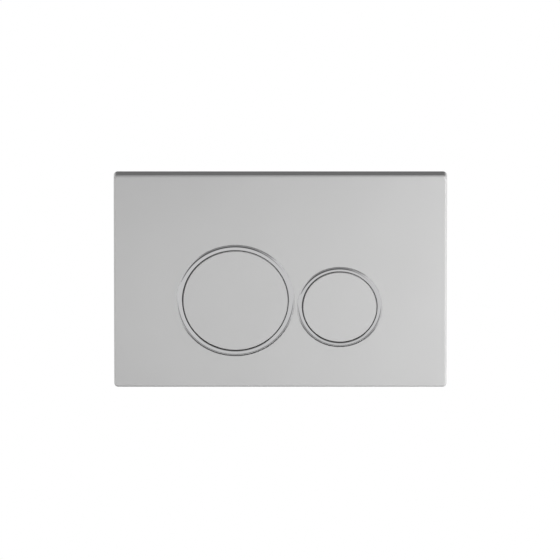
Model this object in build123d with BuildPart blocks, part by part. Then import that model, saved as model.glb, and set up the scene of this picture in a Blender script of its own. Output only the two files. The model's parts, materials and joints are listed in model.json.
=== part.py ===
from build123d import *
from collections import namedtuple
from math import cos, pi, sin
import os

# Dual-flush actuator plate for a cistern built into a wall, sizes in mm.
# X runs right along the wall and Z up. The wall is the plane Y = 0, and a height is measured off
# the wall towards the user (-Y), so that what lies in the wall has a negative height.

# Fascia
plate_width = 246.0
plate_height = 166.0
plate_depth = 9.0
plate_wall = 2.0
plate_corner_r = 3.0
plate_edge_r = 1.6
plate_rib_t = 1.4
plate_rib_height = 2.4
plate_rib_pitch = 34.0
plate_rib_length = 24.0
plate_rib_count = 5

# Buttons, as seen from the front
full_cap_r = 38.8
half_cap_r = 27.3
full_z = -14.9
half_z = -20.0
ring_spacing = 2.0
pair_x = -0.8
cap_proud = 0.5
cap_face_t = 2.0
cap_skirt_t = 1.6
cap_depth = 6.0
cap_edge = 0.5
press_travel = 6.0
stop_gap = 0.3

# Ring lugs, posts and buffers stand on the diagonals of each button, floor windows between them
station_count = 4
station_angle = 45.0

# Rings around the buttons
full_ring_band = 4.2
half_ring_band = 3.5
ring_gap = 0.6
ring_seat_gap = 0.05
ring_proud = 0.8
ring_bevel = 0.8
ring_inner_bevel = 0.4
ring_lug_t = 2.0
ring_lug_width = 9.0
ring_lug_reach = 2.4

# Plungers behind the buttons and their guides
plunger_base = 26.0
plunger_base_t = 1.8
stem_width = 11.0
stem_clear = 0.1
stem_end = 4.0
sleeve_wall = 1.8
sleeve_back = 11.0
clip_t = 1.2
clip_width = 18.0
clip_groove_depth = 1.0
clip_clear = 0.05
locator_t = 1.2
locator_height = 1.4
locator_gap = 0.1

# Springs and rubber stops
spring_wire = 0.9
spring_turns = 3.25
spring_steps = 12
spring_clear = 0.4
spring_seat_gap = 0.15
buffer_t = 1.6
buffer_width = 7.0
buffer_radial = 3.6

# Push rods and their nuts
rod_r = 4.0
rod_length = 70.0
rod_clear = 0.05
socket_depth = 12.0
socket_floor_gap = 0.3
rod_nut_flats = 13.0
rod_nut_t = 6.0
hex_sides = 6

# Button carrier: a tray behind the fascia
tray_gap = 1.5
tray_wall = 2.0
tray_floor_t = 2.5
tray_corner_r = 4.0
tray_flange = 5.0
tray_flange_t = 2.0
floor_window_width = 17.0
floor_window_margin = 2.0
floor_ledge = 5.0
web_t = 1.6
web_height = 4.0
web_end_gap = 2.0
post_t = 3.4
post_width = 5.0
latch_width = 12.0
latch_pitch = 52.0
latch_t = 1.6
latch_reach = 1.2
latch_clear = 0.1
latch_tip = 1.3

# Mounting frame on the wall
frame_t = 3.0
frame_side_gap = 6.4
frame_edge_gap = 5.2
frame_corner_r = 5.0
window_clear = 3.0
frame_pocket_depth = 1.6
frame_pocket_rim = 5.0
frame_pocket_cells = 2
frame_web_t = 1.6
bolt_pad = 26.0
catch_width = 14.0
catch_pitch = 170.0
catch_depth = 1.8
catch_t = 2.0
catch_reach = 1.4
catch_clear = 0.1
catch_side_gap = 1.0

# Fixing bolts
bolt_r = 3.0
bolt_length = 80.0
bolt_slot_length = 16.0
bolt_slot_clear = 1.5
bolt_head_flats = 13.0
bolt_head_t = 3.5

# Heights off the wall that follow from the sizes above
inner_face = plate_depth - plate_wall
cap_front = plate_depth + cap_proud
cap_inner = cap_front - cap_face_t
cap_back = cap_front - cap_depth
ring_front = plate_depth + ring_proud
ring_back = inner_face - ring_lug_t
base_back = cap_inner - plunger_base_t
floor_front = cap_back - press_travel - stop_gap - buffer_t
floor_back = floor_front - tray_floor_t
sleeve_front = base_back - press_travel - stop_gap
sleeve_end = floor_back - sleeve_back
clip_front = sleeve_end - stop_gap
clip_back = clip_front - clip_t
stem_back = clip_back - stem_end
rod_front = stem_back + socket_depth - socket_floor_gap
rod_back = rod_front - rod_length

# Places along the wall: the two rings sit side by side near the middle of the plate
full_hole_r = full_cap_r + ring_gap + full_ring_band + ring_seat_gap
half_hole_r = half_cap_r + ring_gap + half_ring_band + ring_seat_gap
pair_width = 2 * (full_hole_r + half_hole_r) + ring_spacing
Flush = namedtuple("Flush", "name x z cap_r hole_r")
full_x = pair_x - pair_width / 2 + full_hole_r
half_x = pair_x + pair_width / 2 - half_hole_r
full_flush = Flush("full_flush", full_x, full_z, full_cap_r, full_hole_r)
half_flush = Flush("half_flush", half_x, half_z, half_cap_r, half_hole_r)
flushes = (full_flush, half_flush)

# The tray goes round both holes, and the frame fits inside the fascia's rim. The frame's window is
# as tall above the middle as below it.
tray_bottom = min(f.z - f.hole_r for f in flushes) - tray_gap - tray_wall
tray_top = max(f.z + f.hole_r for f in flushes) + tray_gap + tray_wall
tray_z = (tray_top + tray_bottom) / 2
tray_width = pair_width + 2 * (tray_gap + tray_wall)
tray_height = tray_top - tray_bottom
window_width = tray_width + 2 * window_clear
window_height = 2 * (max(tray_top, -tray_bottom) + window_clear)
frame_width = plate_width - 2 * (plate_wall + frame_side_gap)
frame_height = plate_height - 2 * (plate_wall + frame_edge_gap)
frame_bar = (frame_width - window_width) / 2
bolt_spacing = window_width + frame_bar
sleeve_width = stem_width + 2 * (stem_clear + sleeve_wall)
spring_r = sleeve_width * 2**0.5 / 2 + spring_clear + spring_wire / 2


def wall_plane(height, x=0.0, z=0.0):
    # Plane along the wall at this height, facing the user, with its middle at x and z
    return Plane(origin=(x, -height, z), x_dir=(1, 0, 0), z_dir=(0, -1, 0))


def half_section(flush):
    # Plane through a button's axis: across is the radius and up is the height off the wall
    return Plane(origin=(flush.x, 0, flush.z), x_dir=(1, 0, 0), z_dir=(0, 0, -1))


def button_axis(flush):
    return Axis((flush.x, 0, flush.z), (0, -1, 0))


def save(piece, name):
    piece.label = name
    export_step(piece, f"parts/{name}.step")


def make_front_plate():
    with BuildPart() as plate:
        with BuildSketch(wall_plane(0)):
            RectangleRounded(plate_width, plate_height, plate_corner_r)
        extrude(amount=plate_depth)
        fillet(plate.faces().sort_by(Axis.Y)[0].edges(), plate_edge_r)
        with BuildSketch(wall_plane(0)):
            Rectangle(plate_width - 2 * plate_wall, plate_height - 2 * plate_wall)
        extrude(amount=inner_face, mode=Mode.SUBTRACT)
        with BuildSketch(wall_plane(plate_depth)):
            for flush in flushes:
                with Locations((flush.x, flush.z)):
                    Circle(flush.hole_r)
        extrude(amount=-plate_wall, mode=Mode.SUBTRACT)
        # Ribs that stiffen the face above the buttons
        with BuildSketch(wall_plane(inner_face)):
            with Locations((0, (tray_top + tray_flange + plate_height / 2) / 2)):
                Rectangle((plate_rib_count - 1) * plate_rib_pitch, plate_rib_t)
                with GridLocations(plate_rib_pitch, 0, plate_rib_count, 1):
                    Rectangle(plate_rib_t, plate_rib_length)
        extrude(amount=-plate_rib_height)
        # Latches that hold the button carrier by its flange
        grip = inner_face - tray_flange_t - latch_clear
        for edge, side in ((tray_top + tray_flange, 1), (tray_bottom - tray_flange, -1)):
            wall = edge + side * latch_clear
            for x in (-latch_pitch, 0, latch_pitch):
                with BuildSketch(Plane.YZ.offset(x - latch_width / 2)):
                    with BuildLine():
                        Polyline(
                            (-inner_face, wall),
                            (-inner_face, wall + side * latch_t),
                            (latch_tip - grip, wall + side * latch_t),
                            (latch_tip - grip, wall),
                            (-grip, wall - side * latch_reach),
                            (-grip, wall),
                            close=True,
                        )
                    make_face()
                extrude(amount=latch_width)
        # Arms that snap over the edge of the mounting frame
        for side in (1, -1):
            wall = side * (frame_height / 2 + catch_clear)
            ledge = catch_depth - catch_clear
            for x in (-catch_pitch / 2, catch_pitch / 2):
                with BuildSketch(Plane.YZ.offset(x - catch_width / 2)):
                    with BuildLine():
                        Polyline(
                            (-inner_face, wall),
                            (-inner_face, wall + side * catch_t),
                            (0, wall + side * catch_t),
                            (-catch_clear, wall),
                            (-ledge, wall - side * catch_reach),
                            (-ledge, wall),
                            close=True,
                        )
                    make_face()
                extrude(amount=catch_width)
    return plate.part


def make_ring(flush):
    bore = flush.cap_r + ring_gap
    outer = flush.hole_r - ring_seat_gap
    with BuildPart() as ring:
        with BuildSketch(half_section(flush)):
            with BuildLine():
                Polyline(
                    (bore, ring_back),
                    (outer, ring_back),
                    (outer, ring_front - ring_bevel),
                    (outer - ring_bevel, ring_front),
                    (bore + ring_inner_bevel, ring_front),
                    (bore, ring_front - ring_inner_bevel),
                    close=True,
                )
            make_face()
        revolve(axis=button_axis(flush))
        # Lugs behind the fascia
        lug_start = (bore + outer) / 2
        lug_end = flush.hole_r + ring_lug_reach
        with BuildSketch(wall_plane(ring_back, flush.x, flush.z)):
            with PolarLocations((lug_start + lug_end) / 2, station_count, start_angle=station_angle):
                Rectangle(lug_end - lug_start, ring_lug_width)
        extrude(amount=ring_lug_t)
    return ring.part


def make_button(flush):
    with BuildPart() as button:
        with BuildSketch(half_section(flush)):
            with BuildLine():
                Polyline(
                    (0, cap_front),
                    (flush.cap_r - cap_edge, cap_front),
                    (flush.cap_r, cap_front - cap_edge),
                    (flush.cap_r, cap_back),
                    (flush.cap_r - cap_skirt_t, cap_back),
                    (flush.cap_r - cap_skirt_t, cap_inner),
                    (0, cap_inner),
                    close=True,
                )
            make_face()
        revolve(axis=button_axis(flush))
        # Frame of ribs that locates the plunger
        seat = plunger_base + 2 * locator_gap
        with BuildSketch(wall_plane(cap_inner, flush.x, flush.z)):
            Rectangle(seat + 2 * locator_t, seat + 2 * locator_t)
            Rectangle(seat, seat, mode=Mode.SUBTRACT)
        extrude(amount=-locator_height)
    return button.part


def make_plunger(flush):
    with BuildPart() as plunger:
        with BuildSketch(wall_plane(cap_inner, flush.x, flush.z)):
            Rectangle(plunger_base, plunger_base)
        extrude(amount=-plunger_base_t)
        with BuildSketch(wall_plane(base_back, flush.x, flush.z)):
            Rectangle(stem_width, stem_width)
        extrude(amount=stem_back - base_back)
        with BuildSketch(wall_plane(clip_back, flush.x, flush.z)):
            with GridLocations(stem_width, 0, 2, 1):
                Rectangle(2 * clip_groove_depth, stem_width)
        extrude(amount=clip_t, mode=Mode.SUBTRACT)
        with BuildSketch(wall_plane(stem_back, flush.x, flush.z)):
            Circle(rod_r + rod_clear)
        extrude(amount=socket_depth, mode=Mode.SUBTRACT)
    return plunger.part


def make_stem_clip(flush):
    mouth = stem_width - 2 * clip_groove_depth + 2 * clip_clear
    with BuildPart() as clip:
        with BuildSketch(wall_plane(clip_back + clip_clear, flush.x, flush.z)):
            Rectangle(clip_width, clip_width)
            with Locations((0, (stem_width - clip_width) / 2)):
                Rectangle(mouth, clip_width, mode=Mode.SUBTRACT)
        extrude(amount=clip_t - 2 * clip_clear)
    return clip.part


def make_spring(flush):
    # The wire is drawn in straight steps, which keeps its faces few
    bottom = floor_front + spring_seat_gap + spring_wire / 2
    top = base_back - spring_seat_gap - spring_wire / 2
    steps = round(spring_turns * spring_steps)
    points = []
    for step in range(steps + 1):
        turn = 2 * pi * step / spring_steps
        height = bottom + (top - bottom) * step / steps
        points.append((flush.x + spring_r * cos(turn), -height, flush.z + spring_r * sin(turn)))
    with BuildPart() as spring:
        with BuildLine() as coil:
            Polyline(*points)
        with BuildSketch(Plane(coil.line @ 0, x_dir=(0, 1, 0), z_dir=coil.line % 0)):
            Rectangle(spring_wire, spring_wire)
        sweep(transition=Transition.RIGHT)
    return spring.part


def make_buffers(flush):
    with BuildPart() as buffers:
        with BuildSketch(wall_plane(floor_front, flush.x, flush.z)):
            with PolarLocations(flush.cap_r - cap_skirt_t / 2, station_count, start_angle=station_angle):
                Rectangle(buffer_radial, buffer_width)
        extrude(amount=buffer_t)
    return buffers.part


def make_push_rod(flush):
    with BuildPart() as rod:
        with BuildSketch(wall_plane(rod_back, flush.x, flush.z)):
            Circle(rod_r)
        extrude(amount=rod_length)
    return rod.part


def make_rod_nut(flush):
    with BuildPart() as nut:
        with BuildSketch(wall_plane(stem_back, flush.x, flush.z)):
            RegularPolygon(rod_nut_flats / 2, hex_sides, major_radius=False)
            Circle(rod_r + rod_clear, mode=Mode.SUBTRACT)
        extrude(amount=-rod_nut_t)
    return nut.part


def make_button_carrier():
    with BuildPart() as carrier:
        with BuildSketch(wall_plane(inner_face, pair_x, tray_z)):
            Rectangle(tray_width + 2 * tray_flange, tray_height + 2 * tray_flange)
        extrude(amount=-tray_flange_t)
        with BuildSketch(wall_plane(inner_face, pair_x, tray_z)):
            RectangleRounded(tray_width, tray_height, tray_corner_r)
        extrude(amount=floor_back - inner_face)
        with BuildSketch(wall_plane(inner_face, pair_x, tray_z)):
            Rectangle(tray_width - 2 * tray_wall, tray_height - 2 * tray_wall)
        extrude(amount=floor_front - inner_face, mode=Mode.SUBTRACT)
        for flush in flushes:
            # Windows in the floor round the spring's seat
            near = spring_r + spring_wire / 2 + floor_window_margin
            far = flush.cap_r - floor_ledge
            with BuildSketch(wall_plane(floor_front, flush.x, flush.z)):
                with PolarLocations((near + far) / 2, station_count):
                    Rectangle(far - near, floor_window_width)
            extrude(amount=-tray_floor_t, mode=Mode.SUBTRACT)
            # Posts that hold the ring's lugs against the fascia
            post_r = flush.hole_r + ring_lug_reach - post_t / 2
            with BuildSketch(wall_plane(floor_front, flush.x, flush.z)):
                with PolarLocations(post_r, station_count, start_angle=station_angle):
                    Rectangle(post_t, post_width)
            extrude(amount=ring_back - floor_front)
            # Webs on the diagonals that stiffen the floor behind
            web_start = (stem_width / 2 + stem_clear + sleeve_wall / 2) * 2**0.5
            web_end = flush.hole_r - web_end_gap
            with BuildSketch(wall_plane(floor_back, flush.x, flush.z)):
                with PolarLocations((web_start + web_end) / 2, station_count, start_angle=station_angle):
                    Rectangle(web_end - web_start, web_t)
            extrude(amount=-web_height)
            # Square sleeve that guides the plunger
            with BuildSketch(wall_plane(sleeve_end, flush.x, flush.z)):
                Rectangle(sleeve_width, sleeve_width)
            extrude(amount=sleeve_front - sleeve_end)
            bore = stem_width + 2 * stem_clear
            with BuildSketch(wall_plane(sleeve_end, flush.x, flush.z)):
                Rectangle(bore, bore)
            extrude(amount=sleeve_front - sleeve_end, mode=Mode.SUBTRACT)
    return carrier.part


def make_mounting_frame():
    pocket_width = frame_bar - 2 * frame_pocket_rim
    pocket_height = (frame_height - bolt_pad) / 2 - 2 * frame_pocket_rim
    cell_pitch = (pocket_height + frame_web_t) / frame_pocket_cells
    with BuildPart() as frame:
        with BuildSketch(wall_plane(0)):
            RectangleRounded(frame_width, frame_height, frame_corner_r)
            Rectangle(window_width, window_height, mode=Mode.SUBTRACT)
            with GridLocations(bolt_spacing, 0, 2, 1):
                SlotOverall(bolt_slot_length, 2 * (bolt_r + bolt_slot_clear), mode=Mode.SUBTRACT)
        extrude(amount=frame_t)
        # Pockets with webs between them lighten the bars from behind, above and below the bolts
        with BuildSketch(wall_plane(0)):
            with GridLocations(bolt_spacing, (frame_height + bolt_pad) / 2, 2, 2):
                with GridLocations(0, cell_pitch, 1, frame_pocket_cells):
                    Rectangle(pocket_width, cell_pitch - frame_web_t)
        extrude(amount=frame_pocket_depth, mode=Mode.SUBTRACT)
        # Notches behind the edge for the arms of the fascia
        with BuildSketch(wall_plane(0)):
            with GridLocations(catch_pitch, frame_height, 2, 2):
                Rectangle(catch_width + 2 * catch_side_gap, 2 * (catch_reach + catch_side_gap))
        extrude(amount=catch_depth, mode=Mode.SUBTRACT)
    return frame.part


def make_fixing_bolt(x):
    with BuildPart() as bolt:
        with BuildSketch(wall_plane(frame_t, x)):
            Circle(bolt_r)
        extrude(amount=-bolt_length)
        with BuildSketch(wall_plane(frame_t, x)):
            RegularPolygon(bolt_head_flats / 2, hex_sides, major_radius=False)
        extrude(amount=bolt_head_t)
    return bolt.part


os.makedirs("parts", exist_ok=True)
save(make_front_plate(), "front_plate")
save(make_button_carrier(), "button_carrier")
save(make_mounting_frame(), "mounting_frame")
save(make_fixing_bolt(-bolt_spacing / 2), "left_fixing_bolt")
save(make_fixing_bolt(bolt_spacing / 2), "right_fixing_bolt")
for flush in flushes:
    save(make_ring(flush), f"{flush.name}_ring")
    save(make_button(flush), f"{flush.name}_button")
    save(make_plunger(flush), f"{flush.name}_plunger")
    save(make_stem_clip(flush), f"{flush.name}_stem_clip")
    save(make_spring(flush), f"{flush.name}_spring")
    save(make_buffers(flush), f"{flush.name}_buffers")
    save(make_push_rod(flush), f"{flush.name}_push_rod")
    save(make_rod_nut(flush), f"{flush.name}_rod_nut")
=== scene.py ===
import json
from math import cos, pi, radians, sin, sqrt
import bpy
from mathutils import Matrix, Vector


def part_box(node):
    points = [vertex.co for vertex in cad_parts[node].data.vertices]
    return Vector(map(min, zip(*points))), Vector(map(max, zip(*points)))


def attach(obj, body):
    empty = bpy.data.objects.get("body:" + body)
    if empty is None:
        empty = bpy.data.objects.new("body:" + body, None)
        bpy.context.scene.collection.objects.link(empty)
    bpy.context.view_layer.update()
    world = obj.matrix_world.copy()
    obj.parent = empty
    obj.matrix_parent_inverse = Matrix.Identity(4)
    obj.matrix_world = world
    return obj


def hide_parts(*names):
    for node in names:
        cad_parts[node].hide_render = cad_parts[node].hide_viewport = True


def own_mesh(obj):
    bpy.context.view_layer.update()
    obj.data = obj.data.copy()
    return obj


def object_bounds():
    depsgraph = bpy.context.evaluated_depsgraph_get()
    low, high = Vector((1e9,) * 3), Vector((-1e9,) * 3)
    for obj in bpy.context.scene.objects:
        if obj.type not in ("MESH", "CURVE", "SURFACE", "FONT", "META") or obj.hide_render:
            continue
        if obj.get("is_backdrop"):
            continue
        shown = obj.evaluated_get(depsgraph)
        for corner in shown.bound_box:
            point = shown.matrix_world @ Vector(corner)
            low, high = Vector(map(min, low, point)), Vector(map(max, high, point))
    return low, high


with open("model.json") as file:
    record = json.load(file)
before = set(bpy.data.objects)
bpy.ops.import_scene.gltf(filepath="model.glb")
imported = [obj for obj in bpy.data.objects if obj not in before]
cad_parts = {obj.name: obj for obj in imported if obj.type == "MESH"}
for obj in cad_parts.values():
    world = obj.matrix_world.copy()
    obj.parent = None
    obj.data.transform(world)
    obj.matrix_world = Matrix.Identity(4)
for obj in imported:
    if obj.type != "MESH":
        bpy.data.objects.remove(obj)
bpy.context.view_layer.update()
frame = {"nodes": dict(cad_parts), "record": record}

scene = bpy.context.scene
cadNodes = frame["nodes"]
mm = 0.001
flushNames = ("full_flush", "half_flush")   # large button, small button
print("frame loaded,", len(cadNodes), "CAD nodes")


def linear(hexColour, alpha=1.0):   # sRGB hex to the linear colour that a socket takes
    parts = [int(hexColour[i:i + 2], 16) / 255 for i in (1, 3, 5)]
    return (*[p / 12.92 if p <= 0.04045 else ((p + 0.055) / 1.055) ** 2.4 for p in parts], alpha)


def addNode(tree, kind, inputs=None, **settings):   # one node, its settings, then values or links
    node = tree.nodes.new(kind)
    for name, value in settings.items():
        setattr(node, name, value)
    for socket, value in (inputs or {}).items():
        if isinstance(value, bpy.types.Node):
            value = value.outputs[0]   # a node stands for its first output
        if isinstance(value, bpy.types.NodeSocket):
            tree.links.new(value, node.inputs[socket])
        else:
            node.inputs[socket].default_value = value
    return node


def startMaterial(name):   # bare node tree and its coordinates in metres
    material = bpy.data.materials.new(name)
    material.use_nodes = True
    tree = material.node_tree
    tree.nodes.clear()
    place = addNode(tree, "ShaderNodeTexCoord").outputs["Object"]
    return material, tree, place


def perMetre(sizeInMm):   # texture scale for a pattern of that real size
    return 1 / (sizeInMm * mm)


# Satin chrome: bright nickel and chrome over ABS, blasted before plating. A soft grey sheen
# without brush lines. Real blast marks are 0.05 mm across, drawn coarser so that they show.
satinLook = {"colour": "#C3C3C3", "cloud": "#BEBEBE", "cloudSize": 60, "cloudDetail": 2.0,
             "grain": 0.6, "grainDetail": 3.0, "metallic": 0.6, "roughness": (0.36, 0.42),
             "relief": 0.02, "reliefHeight": 0.05}
satinChrome, tree, place = startMaterial("satinChrome")
cloud = addNode(tree, "ShaderNodeTexNoise", {
    "Vector": place, "Scale": perMetre(satinLook["cloudSize"]),
    "Detail": satinLook["cloudDetail"]})
tone = addNode(tree, "ShaderNodeMix", {
    0: cloud, 6: linear(satinLook["colour"]), 7: linear(satinLook["cloud"])}, data_type="RGBA")
grain = addNode(tree, "ShaderNodeTexNoise", {
    "Vector": place, "Scale": perMetre(satinLook["grain"]), "Detail": satinLook["grainDetail"]})
rough = addNode(tree, "ShaderNodeMapRange", {
    "Value": grain, "To Min": satinLook["roughness"][0], "To Max": satinLook["roughness"][1]})
relief = addNode(tree, "ShaderNodeBump", {
    "Height": grain, "Strength": satinLook["relief"],
    "Distance": satinLook["reliefHeight"] * mm})
skin = addNode(tree, "ShaderNodeBsdfPrincipled", {
    "Base Color": tone.outputs[2], "Metallic": satinLook["metallic"], "Roughness": rough,
    "Normal": relief})
addNode(tree, "ShaderNodeOutputMaterial", {"Surface": skin})

# Polished chrome: the same plating on a polished moulding. A clear mirror with a faint wipe haze.
polishLook = {"colour": "#C1C1C2", "haze": 9, "hazeDetail": 4.0, "roughness": (0.05, 0.10)}
polishedChrome, tree, place = startMaterial("polishedChrome")
haze = addNode(tree, "ShaderNodeTexNoise", {
    "Vector": place, "Scale": perMetre(polishLook["haze"]), "Detail": polishLook["hazeDetail"]})
rough = addNode(tree, "ShaderNodeMapRange", {
    "Value": haze, "To Min": polishLook["roughness"][0], "To Max": polishLook["roughness"][1]})
skin = addNode(tree, "ShaderNodeBsdfPrincipled", {
    "Base Color": linear(polishLook["colour"]), "Metallic": 1.0, "Roughness": rough})
addNode(tree, "ShaderNodeOutputMaterial", {"Surface": skin})

# Moulded plastics and rubber: the spark-eroded tool leaves a dull, faintly pebbled skin,
# clouded by the flow
plasticLooks = {
    "mouldedGreyAbs": {"colour": "#A6A8AA", "cloud": "#9C9EA0", "cloudSize": 24, "pebble": 0.9,
                       "roughness": (0.48, 0.60), "relief": 0.25, "ior": 1.54},
    "mouldedWhiteAbs": {"colour": "#E9E9E5", "cloud": "#E1E1DC", "cloudSize": 30, "pebble": 0.9,
                        "roughness": (0.42, 0.55), "relief": 0.22, "ior": 1.54},
    "whiteAcetal": {"colour": "#EFEFEA", "cloud": "#E6E6DF", "cloudSize": 14, "pebble": 1.6,
                    "roughness": (0.26, 0.36), "relief": 0.06, "ior": 1.48},
    "blackNitrileRubber": {"colour": "#1C1C1D", "cloud": "#272728", "cloudSize": 5, "pebble": 0.7,
                           "roughness": (0.70, 0.85), "relief": 0.30, "ior": 1.52},
}
mouldLook = {"cloudDetail": 3.0, "pebbleDetail": 2.0, "pebbleHeight": 0.04}   # same for all four
plastics = {}
for name, look in plasticLooks.items():
    plastics[name], tree, place = startMaterial(name)
    cloud = addNode(tree, "ShaderNodeTexNoise", {
        "Vector": place, "Scale": perMetre(look["cloudSize"]), "Detail": mouldLook["cloudDetail"]})
    tone = addNode(tree, "ShaderNodeMix", {
        0: cloud, 6: linear(look["colour"]), 7: linear(look["cloud"])}, data_type="RGBA")
    pebble = addNode(tree, "ShaderNodeTexNoise", {
        "Vector": place, "Scale": perMetre(look["pebble"]), "Detail": mouldLook["pebbleDetail"]})
    rough = addNode(tree, "ShaderNodeMapRange", {
        "Value": pebble, "To Min": look["roughness"][0], "To Max": look["roughness"][1]})
    relief = addNode(tree, "ShaderNodeBump", {
        "Height": pebble, "Strength": look["relief"], "Distance": mouldLook["pebbleHeight"] * mm})
    skin = addNode(tree, "ShaderNodeBsdfPrincipled", {
        "Base Color": tone.outputs[2], "Roughness": rough, "IOR": look["ior"], "Normal": relief})
    addNode(tree, "ShaderNodeOutputMaterial", {"Surface": skin})

# Steels: drawn wire is bright with a faint grain, zinc plating is duller, cloudy and a little blue
steelLooks = {
    "drawnSpringSteel": {"colour": "#BDBDBC", "cloud": "#A4A4A3", "cloudSize": 3,
                         "roughness": (0.22, 0.34)},
    "zincPlatedSteel": {"colour": "#C6CACF", "cloud": "#AEB2B6", "cloudSize": 4,
                        "roughness": (0.32, 0.46)},
}
steelDetail = 5.0
steels = {}
for name, look in steelLooks.items():
    steels[name], tree, place = startMaterial(name)
    cloud = addNode(tree, "ShaderNodeTexNoise", {
        "Vector": place, "Scale": perMetre(look["cloudSize"]), "Detail": steelDetail})
    tone = addNode(tree, "ShaderNodeMix", {
        0: cloud, 6: linear(look["colour"]), 7: linear(look["cloud"])}, data_type="RGBA")
    rough = addNode(tree, "ShaderNodeMapRange", {
        "Value": cloud, "To Min": look["roughness"][0], "To Max": look["roughness"][1]})
    skin = addNode(tree, "ShaderNodeBsdfPrincipled", {
        "Base Color": tone.outputs[2], "Metallic": 1.0, "Roughness": rough})
    addNode(tree, "ShaderNodeOutputMaterial", {"Surface": skin})

finishOf = {   # record slot to finish
    "satin_chrome": satinChrome,
    "polished_chrome": polishedChrome,
    "grey_plastic": plastics["mouldedGreyAbs"],
    "white_plastic": plastics["mouldedWhiteAbs"],
    "white_acetal": plastics["whiteAcetal"],
    "black_rubber": plastics["blackNitrileRubber"],
    "spring_steel": steels["drawnSpringSteel"],
    "zinc_steel": steels["zincPlatedSteel"],
}
slotOf = {part["node"]: part["material_slot"] for part in frame["record"]["subparts"]}
for name, node in cadNodes.items():   # CAD pieces whose shape is right keep it and get the finish
    finish = finishOf[slotOf[name]]
    if node.data.materials:
        for i in range(len(node.data.materials)):
            node.data.materials[i] = finish
    else:
        node.data.materials.append(finish)
print("materials ready:", len(finishOf))


def startTree(name, sizes):   # Geometry Nodes tree with named inputs
    tree = bpy.data.node_groups.new(name, "GeometryNodeTree")
    for label, kind in sizes.items():
        tree.interface.new_socket(label, in_out="INPUT", socket_type="NodeSocket" + kind)
    tree.interface.new_socket("Geometry", in_out="OUTPUT", socket_type="NodeSocketGeometry")
    return tree, addNode(tree, "NodeGroupInput").outputs


def endTree(tree, shape, finish):   # every tree ends in real mesh with its material
    real = addNode(tree, "GeometryNodeRealizeInstances", {0: shape})
    coated = addNode(tree, "GeometryNodeSetMaterial", {"Geometry": real, "Material": finish})
    addNode(tree, "NodeGroupOutput", {0: coated})


def addMesh(name, spots, faces, finish):   # object from points in metres
    mesh = bpy.data.meshes.new(name)
    mesh.from_pydata(spots, [], faces)
    mesh.materials.append(finish)
    piece = bpy.data.objects.new(name, mesh)
    scene.collection.objects.link(piece)
    return piece


def bakePiece(piece, sharpAngle):   # what the modifiers make becomes a plain mesh
    drawn = piece.data
    depsgraph = bpy.context.evaluated_depsgraph_get()
    baked = bpy.data.meshes.new_from_object(piece.evaluated_get(depsgraph))
    piece.modifiers.clear()
    piece.data = baked
    bpy.data.meshes.remove(drawn)
    baked.name = piece.name
    baked.shade_smooth()
    baked.set_sharp_from_angle(angle=radians(sharpAngle))


def growPiece(name, tree, sizes, sharpAngle):   # runs a tree and keeps the result
    piece = bpy.data.objects.new(name, bpy.data.meshes.new(name))
    scene.collection.objects.link(piece)
    grower = piece.modifiers.new(tree.name, "NODES")
    grower.node_group = tree
    for item in tree.interface.items_tree:
        if item.in_out == "INPUT":
            grower[item.identifier] = sizes[item.name]
    bakePiece(piece, sharpAngle)
    return piece


def settle(piece, body, node):   # takes the place of a CAD node on its body
    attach(piece, body)
    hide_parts(node)


# Trim rings: a turned section with a softly rounded outer edge, and lugs behind the fascia
ringLook = {"gap": 0.6, "innerBevel": 0.4, "edge": 0.8, "edgeTurn": 45, "edgeSteps": 10,
            "around": 240, "lugs": 4, "lugThick": 2.0, "lugWidth": 9.0, "lugReach": 2.45,
            "sharpAngle": 12}
lugSides = [(0, 1, 3, 2), (4, 6, 7, 5), (0, 4, 5, 1), (2, 3, 7, 6), (0, 2, 6, 4), (1, 5, 7, 3)]
for flush in flushNames:
    low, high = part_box(flush + "_ring")
    capLow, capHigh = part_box(flush + "_button")
    middle = (low + high) / 2
    outer = (high.x - low.x) / 2
    bore = (capHigh.x - capLow.x) / 2 + ringLook["gap"] * mm
    bevel = ringLook["innerBevel"] * mm
    edgeTurn = radians(ringLook["edgeTurn"])
    edgeR = ringLook["edge"] * mm / (1 - cos(edgeTurn))
    shoulder = outer - edgeR * sin(edgeTurn)
    section = [(bore, high.y), (bore, low.y + bevel), (bore + bevel, low.y)]   # radius and depth
    for step in range(ringLook["edgeSteps"] + 1):
        turn = edgeTurn * step / ringLook["edgeSteps"]
        section.append((shoulder + edgeR * sin(turn), low.y + edgeR * (1 - cos(turn))))
    section.append((outer, high.y))
    spots, faces, lugSpots, lugFaces = [], [], [], []
    around, row = ringLook["around"], len(section)
    for i in range(around):
        turn = 2 * pi * i / around
        spots += [(middle.x + r * cos(turn), y, middle.z + r * sin(turn)) for r, y in section]
        here, after = i * row, (i + 1) % around * row
        for j in range(row):
            k = (j + 1) % row
            faces.append((here + j, here + k, after + k, after + j))
    halfLug = ringLook["lugWidth"] / 2 * mm
    for i in range(ringLook["lugs"]):
        turn = 2 * pi * (i + 0.5) / ringLook["lugs"]
        start = len(lugSpots)
        for r in ((bore + outer) / 2, outer + ringLook["lugReach"] * mm):
            for side in (-halfLug, halfLug):
                for y in (high.y, high.y - ringLook["lugThick"] * mm):
                    lugSpots.append((middle.x + r * cos(turn) - side * sin(turn), y,
                                     middle.z + r * sin(turn) + side * cos(turn)))
        lugFaces += [[start + corner for corner in face] for face in lugSides]
    ring = addMesh(flush + "_trim_ring", spots, faces, finishOf["polished_chrome"])
    lugs = addMesh(flush + "_ring_lugs", lugSpots, lugFaces, finishOf["polished_chrome"])
    union = ring.modifiers.new("lugs", "BOOLEAN")
    union.operation = "UNION"
    union.object = lugs
    bakePiece(ring, ringLook["sharpAngle"])
    bpy.data.meshes.remove(lugs.data)   # takes its object with it
    settle(ring, "plate", flush + "_ring")
print("rings turned")

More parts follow.
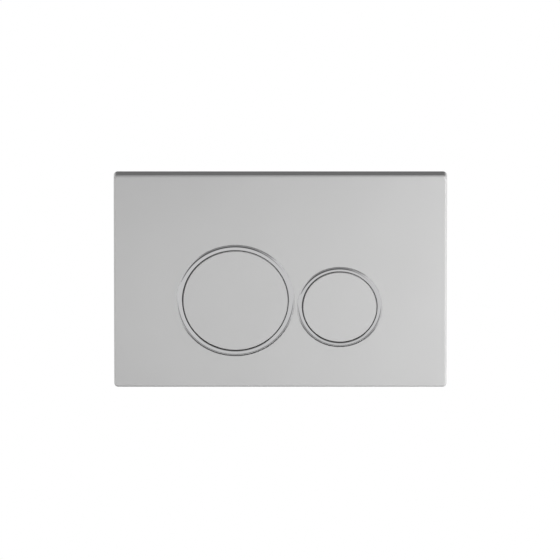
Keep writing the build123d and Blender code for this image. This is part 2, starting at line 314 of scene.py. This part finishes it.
# Return springs: round wire with closed end coils
springLook = {"turns": 4.25, "wire": 0.9, "closedTurns": 0.7, "steps": 260, "wireSides": 12,
              "sharpAngle": 40}
tree, given = startTree("coil", {
    "Turns": "Float", "Closed": "Float", "Radius": "Float", "Wire": "Float", "Length": "Float",
    "Steps": "Int", "Sides": "Int", "Place": "Vector", "Finish": "Material"})
line = addNode(tree, "GeometryNodeCurvePrimitiveLine")
path = addNode(tree, "GeometryNodeResampleCurve", {"Curve": line, "Count": given["Steps"]})
along = addNode(tree, "GeometryNodeSplineParameter").outputs["Factor"]
turned = addNode(tree, "ShaderNodeMath", {0: along, 1: given["Turns"]}, operation="MULTIPLY")
angle = addNode(tree, "ShaderNodeMath", {0: turned, 1: 2 * pi}, operation="MULTIPLY")
closed = addNode(tree, "ShaderNodeMath", {0: given["Closed"], 1: given["Turns"]},
                 operation="DIVIDE")
opened = addNode(tree, "ShaderNodeMath", {0: 1.0, 1: closed}, operation="SUBTRACT")
climb = addNode(tree, "ShaderNodeMapRange", {
    "Value": along, "From Min": closed, "From Max": opened})
rise = addNode(tree, "ShaderNodeMath", {0: given["Length"], 1: given["Wire"]},
               operation="SUBTRACT")
wireR = addNode(tree, "ShaderNodeMath", {0: given["Wire"], 1: 0.5}, operation="MULTIPLY")
height = addNode(tree, "ShaderNodeMath", {0: climb, 1: rise, 2: wireR}, operation="MULTIPLY_ADD")
across = addNode(tree, "ShaderNodeMath", {0: angle}, operation="COSINE")
upward = addNode(tree, "ShaderNodeMath", {0: angle}, operation="SINE")
coilX = addNode(tree, "ShaderNodeMath", {0: across, 1: given["Radius"]}, operation="MULTIPLY")
coilZ = addNode(tree, "ShaderNodeMath", {0: upward, 1: given["Radius"]}, operation="MULTIPLY")
spot = addNode(tree, "ShaderNodeCombineXYZ", {0: coilX, 1: height, 2: coilZ})
coil = addNode(tree, "GeometryNodeSetPosition", {
    "Geometry": path, "Position": spot, "Offset": given["Place"]})
section = addNode(tree, "GeometryNodeCurvePrimitiveCircle", {
    "Resolution": given["Sides"], "Radius": wireR})
wire = addNode(tree, "GeometryNodeCurveToMesh", {
    "Curve": coil, "Profile Curve": section, "Fill Caps": True})
endTree(tree, wire, given["Finish"])
for flush in flushNames:
    low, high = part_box(flush + "_spring")
    middle = (low + high) / 2
    length = high.y - low.y
    wireSize = springLook["wire"] * mm
    sizes = {"Turns": springLook["turns"], "Closed": springLook["closedTurns"],
             "Radius": (high.x - low.x - wireSize) / 2, "Wire": wireSize, "Length": length,
             "Steps": springLook["steps"], "Sides": springLook["wireSides"],
             "Place": (middle.x, low.y, middle.z), "Finish": finishOf["spring_steel"]}
    spring = growPiece(flush + "_coil_spring", tree, sizes, springLook["sharpAngle"])
    settle(spring, "plate", flush + "_spring")
    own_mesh(spring)
print("springs wound")

hexTurn = 7 * pi / 6   # keeps the angle positive and puts two corners of a hexagon along X
faceSlope = sqrt(3)   # chamfer of 30 degrees on hexagonal faces


def hexagon(tree, angle, flats):   # radius of a hexagon at an angle
    fromFlat = addNode(tree, "ShaderNodeMath", {0: angle, 1: hexTurn}, operation="ADD")
    sixth = addNode(tree, "ShaderNodeMath", {0: fromFlat, 1: pi / 6}, operation="PINGPONG")
    slant = addNode(tree, "ShaderNodeMath", {0: sixth}, operation="COSINE")
    halfFlats = addNode(tree, "ShaderNodeMath", {0: flats, 1: 0.5}, operation="MULTIPLY")
    return addNode(tree, "ShaderNodeMath", {0: halfFlats, 1: slant}, operation="DIVIDE")


# Threaded pieces: a column of rings, hexagonal where the head is and threaded below it
tree, given = startTree("threadedColumn", {
    "Radius": "Float", "Depth": "Float", "Pitch": "Float", "Crest": "Float", "Root": "Float",
    "Length": "Float", "Head": "Float", "Flats": "Float", "Face": "Float", "Chamfer": "Float",
    "Around": "Int", "Rows": "Int", "Place": "Vector", "Finish": "Material"})
column = addNode(tree, "GeometryNodeMeshCylinder", {
    "Vertices": given["Around"], "Side Segments": given["Rows"], "Radius": 1.0,
    "Depth": given["Length"]}, fill_type="NGON")
here = addNode(tree, "GeometryNodeInputPosition")
spot = addNode(tree, "ShaderNodeSeparateXYZ", {0: here}).outputs
angle = addNode(tree, "ShaderNodeMath", {0: spot[1], 1: spot[0]}, operation="ARCTAN2")
fromHead = addNode(tree, "ShaderNodeMath", {0: given["Length"], 1: 0.5, 2: spot[2]},
                   operation="MULTIPLY_ADD")
pitches = addNode(tree, "ShaderNodeMath", {0: fromHead, 1: given["Pitch"]}, operation="DIVIDE")
swept = addNode(tree, "ShaderNodeMath", {0: angle, 1: 2 * pi}, operation="DIVIDE")
turn = addNode(tree, "ShaderNodeMath", {0: pitches, 1: swept}, operation="SUBTRACT")
flank = addNode(tree, "ShaderNodeMath", {0: turn, 1: 0.5}, operation="PINGPONG")   # 0 is the crest
groove = addNode(tree, "ShaderNodeMapRange", {
    "Value": flank, "From Min": given["Crest"], "From Max": given["Root"]})
cut = addNode(tree, "ShaderNodeMath", {0: groove, 1: given["Depth"]}, operation="MULTIPLY")
threadR = addNode(tree, "ShaderNodeMath", {0: given["Radius"], 1: cut}, operation="SUBTRACT")
hexR = hexagon(tree, angle, given["Flats"])
domeR = addNode(tree, "ShaderNodeMath", {0: fromHead, 1: faceSlope, 2: given["Face"]},
                operation="MULTIPLY_ADD")
headR = addNode(tree, "ShaderNodeMath", {0: hexR, 1: domeR}, operation="MINIMUM")
inHead = addNode(tree, "ShaderNodeMath", {0: fromHead, 1: given["Head"]}, operation="LESS_THAN")
bodyR = addNode(tree, "ShaderNodeMix", {0: inHead, 2: threadR, 3: headR})
toEnd = addNode(tree, "ShaderNodeMath", {0: given["Length"], 1: fromHead}, operation="SUBTRACT")
tipR = addNode(tree, "ShaderNodeMath", {0: given["Radius"], 1: given["Chamfer"]},
               operation="SUBTRACT")
endR = addNode(tree, "ShaderNodeMath", {0: tipR, 1: toEnd}, operation="ADD")
ringR = addNode(tree, "ShaderNodeMath", {0: bodyR, 1: endR}, operation="MINIMUM")
ringX = addNode(tree, "ShaderNodeMath", {0: spot[0], 1: ringR}, operation="MULTIPLY")
ringY = addNode(tree, "ShaderNodeMath", {0: spot[1], 1: ringR}, operation="MULTIPLY")
moved = addNode(tree, "ShaderNodeCombineXYZ", {0: ringX, 1: ringY, 2: fromHead})
shaped = addNode(tree, "GeometryNodeSetPosition", {"Geometry": column, "Position": moved})
laid = addNode(tree, "GeometryNodeTransform", {
    "Geometry": shaped, "Translation": given["Place"], "Rotation": (-pi / 2, 0, 0)})
endTree(tree, laid, given["Finish"])


def threadPiece(name, tree, node, body, look, finish):   # fills the box of a CAD node
    low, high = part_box(node)
    sizes = {"Radius": look["radius"] * mm, "Depth": look["depth"] * mm,
             "Pitch": look["pitch"] * mm, "Crest": look["crest"], "Root": look["root"],
             "Length": high.y - low.y, "Head": look["head"] * mm, "Flats": look["flats"] * mm,
             "Face": look["face"] * mm, "Chamfer": look["chamfer"] * mm,
             "Around": look["around"], "Rows": look["rows"],
             "Place": ((low.x + high.x) / 2, low.y, (low.z + high.z) / 2), "Finish": finish}
    settle(growPiece(name, tree, sizes, look["sharpAngle"]), body, node)


boltLook = {"radius": 3.0, "depth": 0.55, "pitch": 1.5, "crest": 0.08, "root": 0.40, "head": 3.5,
            "flats": 13.0, "face": 6.1, "chamfer": 0.7, "around": 48, "rows": 560,
            "sharpAngle": 40}   # the real pitch is 1 mm, drawn coarser to show
for side in ("left", "right"):
    threadPiece(side + "_threaded_bolt", tree, side + "_fixing_bolt", "plate", boltLook,
                finishOf["zinc_steel"])

rodLook = {"radius": 4.0, "depth": 0.75, "pitch": 2.5, "crest": 0.08, "root": 0.40, "head": -1000,
           "flats": 4.0, "face": 4.0, "chamfer": 0.6, "around": 48, "rows": 420,
           "sharpAngle": 40}   # moulded thread from end to end, the head's height leaves it out
for flush in flushNames:
    threadPiece(flush + "_threaded_rod", tree, flush + "_push_rod", flush + "_plunger_set",
                rodLook, finishOf["white_acetal"])
print("bolts and rods threaded")

# Lock nuts on the rods: a sheet wrapped round the axis and round the nut's section,
# with both faces chamfered
nutLook = {"bore": 4.05, "face": 6.1, "around": 73, "rows": 81, "weld": 0.01, "sharpAngle": 25}
tree, given = startTree("hexNut", {
    "Flats": "Float", "Bore": "Float", "Height": "Float", "Face": "Float", "Around": "Int",
    "Rows": "Int", "Weld": "Float", "Place": "Vector", "Finish": "Material"})
sheet = addNode(tree, "GeometryNodeMeshGrid", {
    "Size X": 1.0, "Size Y": 1.0, "Vertices X": given["Around"], "Vertices Y": given["Rows"]})
here = addNode(tree, "GeometryNodeInputPosition")
spot = addNode(tree, "ShaderNodeSeparateXYZ", {0: here}).outputs   # both from -0.5 to 0.5
angle = addNode(tree, "ShaderNodeMath", {0: spot[0], 1: -2 * pi}, operation="MULTIPLY")
goOut, goUp, comeIn, comeDown = [   # a quarter of the sheet for each side of the section
    addNode(tree, "ShaderNodeMapRange", {
        "Value": spot[1], "From Min": side / 4 - 0.5, "From Max": (side + 1) / 4 - 0.5})
    for side in range(4)]
outward = addNode(tree, "ShaderNodeMath", {0: goOut, 1: comeIn}, operation="SUBTRACT")
upward = addNode(tree, "ShaderNodeMath", {0: goUp, 1: comeDown}, operation="SUBTRACT")
height = addNode(tree, "ShaderNodeMath", {0: upward, 1: given["Height"]}, operation="MULTIPLY")
fromTop = addNode(tree, "ShaderNodeMath", {0: given["Height"], 1: height}, operation="SUBTRACT")
fromFace = addNode(tree, "ShaderNodeMath", {0: height, 1: fromTop}, operation="MINIMUM")
domeR = addNode(tree, "ShaderNodeMath", {0: fromFace, 1: faceSlope, 2: given["Face"]},
                operation="MULTIPLY_ADD")
hexR = hexagon(tree, angle, given["Flats"])
outerR = addNode(tree, "ShaderNodeMath", {0: hexR, 1: domeR}, operation="MINIMUM")
wall = addNode(tree, "ShaderNodeMath", {0: outerR, 1: given["Bore"]}, operation="SUBTRACT")
radius = addNode(tree, "ShaderNodeMath", {0: wall, 1: outward, 2: given["Bore"]},
                 operation="MULTIPLY_ADD")
across = addNode(tree, "ShaderNodeMath", {0: angle}, operation="COSINE")
upright = addNode(tree, "ShaderNodeMath", {0: angle}, operation="SINE")
nutX = addNode(tree, "ShaderNodeMath", {0: across, 1: radius}, operation="MULTIPLY")
nutZ = addNode(tree, "ShaderNodeMath", {0: upright, 1: radius}, operation="MULTIPLY")
moved = addNode(tree, "ShaderNodeCombineXYZ", {0: nutX, 1: height, 2: nutZ})
wrapped = addNode(tree, "GeometryNodeSetPosition", {
    "Geometry": sheet, "Position": moved, "Offset": given["Place"]})
welded = addNode(tree, "GeometryNodeMergeByDistance", {
    "Geometry": wrapped, "Distance": given["Weld"]})
endTree(tree, welded, given["Finish"])
for flush in flushNames:
    low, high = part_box(flush + "_rod_nut")
    sizes = {"Flats": high.z - low.z, "Bore": nutLook["bore"] * mm, "Height": high.y - low.y,
             "Face": nutLook["face"] * mm, "Around": nutLook["around"], "Rows": nutLook["rows"],
             "Weld": nutLook["weld"] * mm, "Finish": finishOf["grey_plastic"],
             "Place": ((low.x + high.x) / 2, low.y, (low.z + high.z) / 2)}
    nut = growPiece(flush + "_lock_nut", tree, sizes, nutLook["sharpAngle"])
    settle(nut, flush + "_plunger_set", flush + "_rod_nut")
print("lock nuts made")

# Studio: white all round for the eye and for mirrors, softer for the light on the object
studioLook = {"white": "#FFFFFF", "front": 0.55, "back": 0.9, "turn": 0.3, "overhead": 0.4,
              "sides": 0.2, "zenith": 0.8}
world = bpy.data.worlds.new("whiteStudio")
scene.world = world
world.use_nodes = True
tree = world.node_tree
tree.nodes.clear()
ray = addNode(tree, "ShaderNodeLightPath").outputs
looked = addNode(tree, "ShaderNodeMath", {0: ray["Is Camera Ray"], 1: ray["Is Glossy Ray"]},
                 operation="MAXIMUM")
seen = addNode(tree, "ShaderNodeMath", {0: looked, 1: ray["Is Transmission Ray"]},
               operation="MAXIMUM")
heading = addNode(tree, "ShaderNodeTexCoord").outputs["Generated"]   # direction of the ray
way = addNode(tree, "ShaderNodeSeparateXYZ", {0: heading}).outputs
depth = addNode(tree, "ShaderNodeMapRange", {
    "Value": way[1], "From Min": -studioLook["turn"], "From Max": studioLook["turn"],
    "To Min": studioLook["front"], "To Max": studioLook["back"]})
shade = addNode(tree, "ShaderNodeMapRange", {
    "Value": way[2], "From Min": studioLook["sides"], "From Max": studioLook["zenith"],
    "To Min": 1.0, "To Max": studioLook["overhead"]})
level = addNode(tree, "ShaderNodeMath", {0: depth, 1: shade}, operation="MULTIPLY")
fill = addNode(tree, "ShaderNodeBackground", {
    "Color": linear(studioLook["white"]), "Strength": level})
white = addNode(tree, "ShaderNodeBackground", {
    "Color": linear(studioLook["white"]), "Strength": 1.0})
sky = addNode(tree, "ShaderNodeMixShader", {0: seen, 1: fill, 2: white})
addNode(tree, "ShaderNodeOutputWorld", {"Surface": sky})

# Pale floor, far enough below to stay out of the main view, fading out at its rim
floorLook = {"height": -600, "inner": 400, "outer": 800, "colour": "#F4F4F3", "glow": "#FFFFFF",
             "lift": 0.75, "mirrorLift": 0.1}
paleFloor, tree, place = startMaterial("paleFloor")
ray = addNode(tree, "ShaderNodeLightPath").outputs
reach = addNode(tree, "ShaderNodeVectorMath", {0: place}, operation="LENGTH").outputs["Value"]
fade = addNode(tree, "ShaderNodeMapRange", {
    "Value": reach, "From Min": floorLook["inner"] * mm, "From Max": floorLook["outer"] * mm},
    interpolation_type="SMOOTHSTEP")
paint = addNode(tree, "ShaderNodeBsdfDiffuse", {"Color": linear(floorLook["colour"])})
glow = addNode(tree, "ShaderNodeEmission", {"Color": linear(floorLook["glow"]), "Strength": 1.0})
bent = addNode(tree, "ShaderNodeMath", {0: ray["Is Glossy Ray"], 1: ray["Is Transmission Ray"]},
               operation="MAXIMUM")
mirrored = addNode(tree, "ShaderNodeMath", {0: bent, 1: floorLook["mirrorLift"]},
                   operation="MULTIPLY")
direct = addNode(tree, "ShaderNodeMath", {0: ray["Is Camera Ray"], 1: floorLook["lift"]},
                 operation="MULTIPLY")
lift = addNode(tree, "ShaderNodeMath", {0: direct, 1: mirrored}, operation="MAXIMUM")
lifted = addNode(tree, "ShaderNodeMixShader", {0: lift, 1: paint, 2: glow})
clear = addNode(tree, "ShaderNodeBsdfTransparent")
faded = addNode(tree, "ShaderNodeMixShader", {0: fade, 1: lifted, 2: clear})
addNode(tree, "ShaderNodeOutputMaterial", {"Surface": faded})


def addCard(name, corners, finish):   # flat four-cornered sheet, corners in mm
    card = addMesh(name, [Vector(c) * mm for c in corners], [range(len(corners))], finish)
    card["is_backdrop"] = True
    return card


rim = floorLook["outer"]
floorCorners = [(-rim, -rim, 0), (rim, -rim, 0), (rim, rim, 0), (-rim, rim, 0)]
floor = addCard("floor", floorCorners, paleFloor)
floor.location.z = floorLook["height"] * mm

# Cards that only mirrors see: those above and behind darken the top edges, the low one greys the
# lower edges, brow and sill grey the top left and the foot of the face.
# Each fades to white towards its left and right ends.
cardLook = {
    "overheadCard": {"colour": "#606060", "from": (-550, 0, 300), "to": (550, 900, 300)},
    "foreCard": {"colour": "#B0B0B0", "from": (-550, -900, 300), "to": (550, 0, 300)},
    "backCard": {"colour": "#808080", "from": (-550, 900, 90), "to": (550, 900, 300)},
    "lowCard": {"colour": "#585858", "from": (-400, -180, -300), "to": (400, 400, -300)},
    "browCard": {"colour": "#707070", "from": (-700, -600, -90), "to": (300, -600, 300)},
    "sillCard": {"colour": "#A8A8A8", "from": (-900, -600, -590), "to": (900, -600, -295)},
}
cardFade = 0.55   # share of a card's half width where the fade starts
for name, look in cardLook.items():
    (left, front, foot), (right, back, top) = look["from"], look["to"]
    middle = (left + right) / 2 * mm
    halfWidth = (right - left) / 2 * mm
    paint, tree, place = startMaterial(name)
    across = addNode(tree, "ShaderNodeSeparateXYZ", {0: place})
    offset = addNode(tree, "ShaderNodeMath", {0: across, 1: middle}, operation="SUBTRACT")
    reach = addNode(tree, "ShaderNodeMath", {0: offset}, operation="ABSOLUTE")
    fade = addNode(tree, "ShaderNodeMapRange", {
        "Value": reach, "From Min": cardFade * halfWidth, "From Max": halfWidth},
        interpolation_type="SMOOTHSTEP")
    tone = addNode(tree, "ShaderNodeMix", {
        0: fade, 6: linear(look["colour"]), 7: linear(studioLook["white"])}, data_type="RGBA")
    glow = addNode(tree, "ShaderNodeEmission", {"Color": tone.outputs[2], "Strength": 1.0})
    addNode(tree, "ShaderNodeOutputMaterial", {"Surface": glow})
    corners = [(left, front, foot), (right, front, foot), (right, back, top), (left, back, top)]
    card = addCard(name, corners, paint)
    card.visible_camera = card.visible_diffuse = False
    card.visible_transmission = card.visible_shadow = False

# Soft boxes: one at the front right, a weaker one behind it for the back
lampLook = {
    "frontSoftBox": {"at": (480, -590, -80), "aim": (40, 0, 0), "size": 400, "watts": 7.8},
    "backSoftBox": {"at": (420, 620, 40), "aim": (0, 0, 0), "size": 500, "watts": 1.4},
}
for name, look in lampLook.items():
    lamp = bpy.data.lights.new(name, "AREA")
    lamp.shape = "DISK"
    lamp.size = look["size"] * mm
    lamp.energy = look["watts"]
    softBox = bpy.data.objects.new(name, lamp)
    scene.collection.objects.link(softBox)
    softBox.location = Vector(look["at"]) * mm
    heading = Vector(look["aim"]) - Vector(look["at"])
    softBox.rotation_euler = heading.to_track_quat("-Z", "Y").to_euler()
    softBox.visible_camera = softBox.visible_glossy = False   # mirrors show the white room instead

# Camera: long lens, looking down a little, so that the plate's top edge shows
cameraLook = {"distance": 14000, "frameWidth": 413.8, "elevation": 19.3, "aim": (-0.3, -9, 1.2),
              "sensor": 36}
lens = bpy.data.cameras.new("camera")
lens.sensor_width = cameraLook["sensor"]
lens.lens = cameraLook["sensor"] * cameraLook["distance"] / cameraLook["frameWidth"]
camera = bpy.data.objects.new("camera", lens)
scene.collection.objects.link(camera)
tilt = radians(cameraLook["elevation"])
stand = Vector((0, -cos(tilt), sin(tilt))) * cameraLook["distance"]
camera.location = (Vector(cameraLook["aim"]) + stand) * mm
camera.rotation_euler = (pi / 2 - tilt, 0, 0)
scene.camera = camera
scene.view_settings.view_transform = "Standard"
print("studio ready")

low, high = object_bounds()
